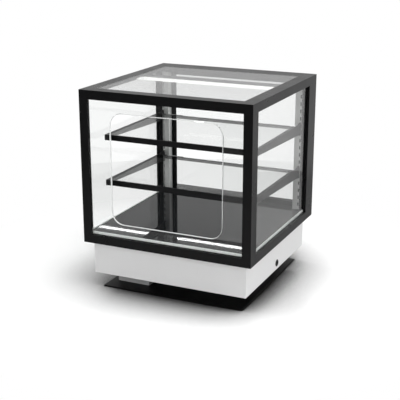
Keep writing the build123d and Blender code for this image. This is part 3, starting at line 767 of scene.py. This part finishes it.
def opening_edge():
    """The polished edge of the rounded opening in the front glass."""
    depths = (FRONT_GLASS_LOW[1], FRONT_GLASS_HIGH[1])
    ring = upright_ring("opening_edge", OPENING_X, OPENING_Z, depths, POLISHED_WIDTH, OPENING_CORNER)
    round_edges(ring, POLISHED_ROUND)
    # The edge's finish paints a glow on it, a painted highlight
    hand_over(ring, POLISHED_EDGE_WITH_PAINTED_GLOW, "case")


def glazing_bead(low, high, inward):
    """One silicone bead, its upper part run out over the deck and smoothed with a finger."""
    bead = start_block("glazing_bead", low, high)
    deck_top = DECK_HIGH[2] * MM
    bpy.ops.object.mode_set(mode="EDIT")
    bpy.ops.mesh.select_all(action="SELECT")
    bpy.ops.mesh.bisect(plane_co=(0.0, 0.0, deck_top), plane_no=(0.0, 0.0, 1.0))
    axis = 0 if inward[0] else 1
    pick_faces(bead, lambda middle, normal: normal[axis] * inward[axis] > 0.5 and middle[2] > deck_top)
    extrude_by(tuple(BEAD_RUN * MM * part for part in inward))
    bpy.ops.object.mode_set(mode="OBJECT")
    round_edges(bead, BEAD_ROUND, segments=4)
    return bead


def glazing_beads():
    """The silicone beads between the deck and the feet of the upright panels."""
    left = box_of("left_glass")[1][0]
    right = box_of("right_glass")[0][0]
    front = FRONT_GLASS_HIGH[1]
    side_start = front + BEAD_WIDTH
    bottom = DECK_LOW[2]
    top = DECK_HIGH[2] + BEAD_RISE
    beads = [
        glazing_bead((left, front, bottom), (right, side_start, top), (0.0, 1.0, 0.0)),
        glazing_bead(
            (left, side_start, bottom), (left + BEAD_WIDTH, BEAD_REAR_Y, top), (1.0, 0.0, 0.0)
        ),
        glazing_bead(
            (right - BEAD_WIDTH, side_start, bottom), (right, BEAD_REAR_Y, top), (-1.0, 0.0, 0.0)
        ),
    ]
    joined = join_all("glazing_beads", beads)
    hand_over(joined, FINISHES["silicone"], "case")
    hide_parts("glass_edge_beads")


def door_gaskets():
    """Rubber strips that hold the door's glass on both faces."""
    glass_low, glass_high = box_of("door_glass")
    inner = (glass_low[1] - GASKET_DEPTH, glass_low[1])
    outer = (glass_high[1], glass_high[1] + GASKET_DEPTH)
    rings = []
    for depths in (inner, outer):
        ring = upright_ring("door_gasket", DOOR_OPENING_X, DOOR_OPENING_Z, depths, GASKET_WIDTH)
        round_edges(ring, GASKET_ROUND, segments=3)
        rings.append(ring)
    joined = join_all("door_gaskets", rings)
    hand_over(joined, FINISHES["rubber"], "rear_door")


def dial_tick(length, turn):
    """One printed tick of the dial, turned to its place round the knob."""
    low = (-TICK_HALF_WIDTH, -INK_HALF, TICK_INNER)
    tick = start_block("tick", low, (TICK_HALF_WIDTH, INK_HALF, TICK_INNER + length))
    round_edges(tick, INK_HALF / 2, segments=1)
    tick.rotation_euler = (0.0, -turn, 0.0)
    tick.location = (DIAL_X * MM, (PANEL_FACE_Y + INK_HALF) * MM, DIAL_Z * MM)
    apply_place(tick)
    return tick


def dial_markings():
    """Numbers and ticks round the thermostat knob, and the white line on its grip."""
    marks = []
    for index in range(TICK_COUNT):
        length = TICK_LONG if index % TICKS_A_NUMBER == 0 else TICK_SHORT
        marks.append(dial_tick(length, math.radians(TICK_STEP * index)))
    reach_x, reach_z = NUMBER_REACH
    for index, words in enumerate(NUMBERS):
        turn = math.radians(TICK_STEP * TICKS_A_NUMBER * index)
        x = DIAL_X - reach_x * math.sin(turn)
        z = DIAL_Z + reach_z * math.cos(turn)
        marks.append(stamp("number", words, NUMBER_SIZE, (x, PANEL_FACE_Y + INK_HALF, z)))
    scale = join_all("dial_scale", marks)
    hand_over(scale, BLACK_INK, "case")
    low = (DIAL_X - LINE_HALF_WIDTH, KNOB_FACE_Y - LINE_SUNK, DIAL_Z + LINE_RISE[0])
    high = (DIAL_X + LINE_HALF_WIDTH, KNOB_FACE_Y + LINE_PROUD, DIAL_Z + LINE_RISE[1])
    line = start_block("knob_line", low, high)
    round_edges(line, LINE_ROUND)
    hand_over(line, WHITE_INK, "knob")


def rocker_markings():
    """I and 0 on each rocker, laid on its two sloping faces."""
    slope = math.atan2(ROCKER_RISE, ROCKER_HALF_HEIGHT)
    for body in ("power_switch", "light_switch"):
        x, y, z = pivot_of(f"{body}_rock")
        marks = []
        for words, side in (("I", 1.0), ("0", -1.0)):
            height = side * ROCKER_MARK_HEIGHT
            out = ROCKER_WAIST + ROCKER_RISE * ROCKER_MARK_HEIGHT / ROCKER_HALF_HEIGHT + INK_HALF
            depth = y + out * math.cos(ROCKER_TILT) - height * math.sin(ROCKER_TILT)
            rise = z + out * math.sin(ROCKER_TILT) + height * math.cos(ROCKER_TILT)
            lean = ROCKER_TILT - side * slope
            marks.append(stamp("mark", words, ROCKER_MARK_SIZE, (x, depth, rise), lean))
        joined = join_all(f"{body}_marks", marks)
        hand_over(joined, WHITE_INK, body)


def cross_head_screw(x, z):
    """A pan-head screw with a cross recess."""
    head = start_disc((x, PANEL_FACE_Y + SCREW_HEIGHT / 2, z), SCREW_RADIUS, SCREW_HEIGHT)
    round_edges(head, SCREW_ROUND, segments=3)
    floor = PANEL_FACE_Y + RECESS_FLOOR
    top = PANEL_FACE_Y + RECESS_TOP
    for across, up in ((RECESS_REACH, RECESS_HALF_WIDTH), (RECESS_HALF_WIDTH, RECESS_REACH)):
        cutter = start_block("cutter", (x - across, floor, z - up), (x + across, top, z + up))
        use_modifier(head, "BOOLEAN", operation="DIFFERENCE", object=cutter, solver="EXACT")
        bpy.data.objects.remove(cutter, do_unlink=True)
    return head


def plate_screws():
    """The four screws in the corners of the control plate."""
    screws = []
    for x in (PANEL_LOW[0] + SCREW_INSET, PANEL_HIGH[0] - SCREW_INSET):
        for z in (PANEL_LOW[2] + SCREW_INSET, PANEL_HIGH[2] - SCREW_INSET):
            screws.append(cross_head_screw(x, z))
    joined = join_all("cross_head_screws", screws)
    hand_over(joined, FINISHES["screw_steel"], "case")
    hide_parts("plate_screws")


def knockout_blank(x, y, turn, outward):
    """One blank, dished inside its rim."""
    blank = start_disc((x, y, BLANK_Z), BLANK_RADIUS, BLANK_DEPTH, turn)
    pick_faces(blank, lambda middle, normal: normal[0] * outward[0] + normal[1] * outward[1] > 0.9)
    bpy.ops.mesh.inset(thickness=BLANK_RIM * MM)
    extrude_by((-BLANK_SINK * MM * outward[0], -BLANK_SINK * MM * outward[1], 0.0))
    bpy.ops.object.mode_set(mode="OBJECT")
    round_edges(blank, BLANK_ROUND)
    return blank


def box_knockouts():
    """Round knock-out blanks on the front and left faces of the wiring box."""
    left, front = BOX_LOW[0], BOX_LOW[1]
    blanks = [knockout_blank(left + reach, front, 0.0, (0.0, -1.0)) for reach in FRONT_BLANKS]
    for reach in SIDE_BLANKS:
        blanks.append(knockout_blank(left, front + reach, math.pi / 2, (-1.0, 0.0)))
    joined = join_all("box_knockouts", blanks)
    hand_over(joined, FINISHES["box_grey"], "case")


# Studio

def studio_floor():
    """A round pale floor with a deep painted contact shadow in its colour, which fades to white at its rim."""
    bpy.ops.mesh.primitive_circle_add(vertices=96, radius=FLOOR_RADIUS, fill_type="NGON")
    floor = bpy.context.object
    floor.name = "studio_floor"
    material, f = new_finish("pale floor")
    seen = f.light_path("Is Camera Ray")
    straight_through = f.light_path("Is Transmission Ray") * f.unmirrored()
    cloud = f.noise(scale=3.0, detail=2.0)
    # Painted shadow: the floor's colour goes to black where the case covers it closely, on top of the shadow that
    # the lamps cast
    near = f.openness(SHADOW_REACH, samples=16)
    touching = f.openness(CONTACT_REACH, samples=8)
    wide_shade = f.ramp(near, [(0.36, 0.0), (0.62, 0.58), (0.94, 1.0)])
    shade = wide_shade * f.ramp(touching, [(0.6, 0.0), (0.98, 1.0)])
    pale = f.shader(
        Base_Color=f.mix(shade, colour(0.0), f.mix(cloud, colour(0.90), colour(0.92))),
        Roughness=f.ramp(cloud, [(0.3, 0.16), (0.7, 0.2)]),
    )
    # Painted light: a glow for camera rays brightens the floor where it is open, and a flat glow lights it where
    # it is seen through glass
    painted_lift = f.ramp(near, [(0.55, 0.0), (0.97, 0.32)]) * seen + straight_through * 0.55
    glow = f.node("ShaderNodeEmission", {}, {"Color": colour(1.0), "Strength": painted_lift})
    bright = f.node("ShaderNodeAddShader", {}, {0: pale, 1: glow})
    # Painted reflection: shiny parts mirror a dark grey stand-in for the floor
    painted_dark_reflection = f.node("ShaderNodeBsdfDiffuse", {}, {"Color": colour(0.1)})
    mirrored = f.light_path("Is Glossy Ray") * (1.0 - straight_through) * 0.6
    middle = f.blend(mirrored, bright, painted_dark_reflection)
    outward = f.node("ShaderNodeVectorMath", {"operation": "LENGTH"}, {0: f.place()}, "Value")
    rim = f.ramp(outward, [(0.6, 0.0), (0.95, 1.0)]) * seen.larger(straight_through)
    white = f.node("ShaderNodeEmission", {}, {"Color": colour(1.0), "Strength": 1.0})
    f.finish_with(f.blend(rim, middle, white))
    floor.data.materials.append(material)


def studio_world():
    """White all round; reflections see it dimmer near the horizon and dark on the customer's side."""
    world = bpy.data.worlds.new("studio")
    bpy.context.scene.world = world
    f = Finish(world)
    direction = f.node("ShaderNodeTexCoord", output="Generated")
    backward = f.node("ShaderNodeSeparateXYZ", {}, {"Vector": direction}, "Y")
    upward = f.node("ShaderNodeSeparateXYZ", {}, {"Vector": direction}, "Z")
    behind = f.ramp(backward * 0.5 + 0.5, [(0.18, CUSTOMER_SIDE_LEVEL), (0.5, 1.0)])
    overhead = f.ramp(upward, [(0.42, HORIZON_LEVEL), (0.8, 1.0)])
    glossy = f.light_path("Is Glossy Ray")
    straight_through = f.light_path("Is Transmission Ray") * f.unmirrored()
    direct = f.light_path("Is Camera Ray").larger(straight_through)
    indirect = glossy * (behind * overhead) + (1.0 - glossy) * FILL_LEVEL
    level = direct + straight_through * PANE_GAIN + (1.0 - direct) * indirect
    light = f.node("ShaderNodeBackground", {}, {"Color": colour(1.0), "Strength": level})
    f.node("ShaderNodeOutputWorld", {}, {"Surface": light}, None)


def point_at(thing, place, aim):
    """Turn a lamp or camera so that it looks at a point."""
    across = aim[0] - place[0]
    along = aim[1] - place[1]
    down = place[2] - aim[2]
    tilt = math.atan2(math.hypot(across, along), down)
    thing.rotation_euler = (tilt, 0.0, math.atan2(-across, along))


def soft_lamp(name, place, aim, size, power):
    """A square soft box aimed at a point."""
    bpy.ops.object.light_add(type="AREA", location=place)
    lamp = bpy.context.object
    lamp.name = name
    lamp.data.size = size
    lamp.data.energy = power
    lamp.visible_glossy = False
    lamp.visible_transmission = False
    point_at(lamp, place, aim)


def strip_light():
    """A thin strip light behind the case, which the deck mirrors as a bright line near its front."""
    turn = (math.pi / 2, 0.0, math.pi)
    bpy.ops.object.light_add(type="AREA", location=STRIP_PLACE, rotation=turn)
    lamp = bpy.context.object
    lamp.name = "back_strip"
    lamp.data.shape = "RECTANGLE"
    lamp.data.size = STRIP_LENGTH
    lamp.data.size_y = STRIP_HEIGHT
    lamp.data.energy = STRIP_POWER
    lamp.visible_camera = False


def studio_camera():
    """The camera at the photograph's place."""
    bpy.ops.object.camera_add(location=CAMERA_PLACE)
    camera = bpy.context.object
    camera.data.lens = CAMERA_LENS
    camera.data.sensor_width = CAMERA_SENSOR
    point_at(camera, CAMERA_PLACE, CAMERA_AIM)
    bpy.context.scene.camera = camera


bpy.ops.object.select_all(action="DESELECT")
dress_solids()
opening_edge()
glazing_beads()
door_gaskets()
dial_markings()
rocker_markings()
plate_screws()
box_knockouts()
studio_floor()
studio_world()
soft_lamp("overhead", place=(0.6, -0.3, 2.5), aim=(0.0, 0.0, 0.3), size=2.0, power=42.0)
soft_lamp("right_side", place=(2.4, 0.3, 1.2), aim=(0.0, 0.0, 0.35), size=1.6, power=28.0)
soft_lamp("customer_side", place=(-0.8, -2.6, 1.3), aim=(0.0, 0.0, 0.3), size=1.6, power=24.0)
strip_light()
studio_camera()
bpy.context.scene.view_settings.view_transform = "Standard"
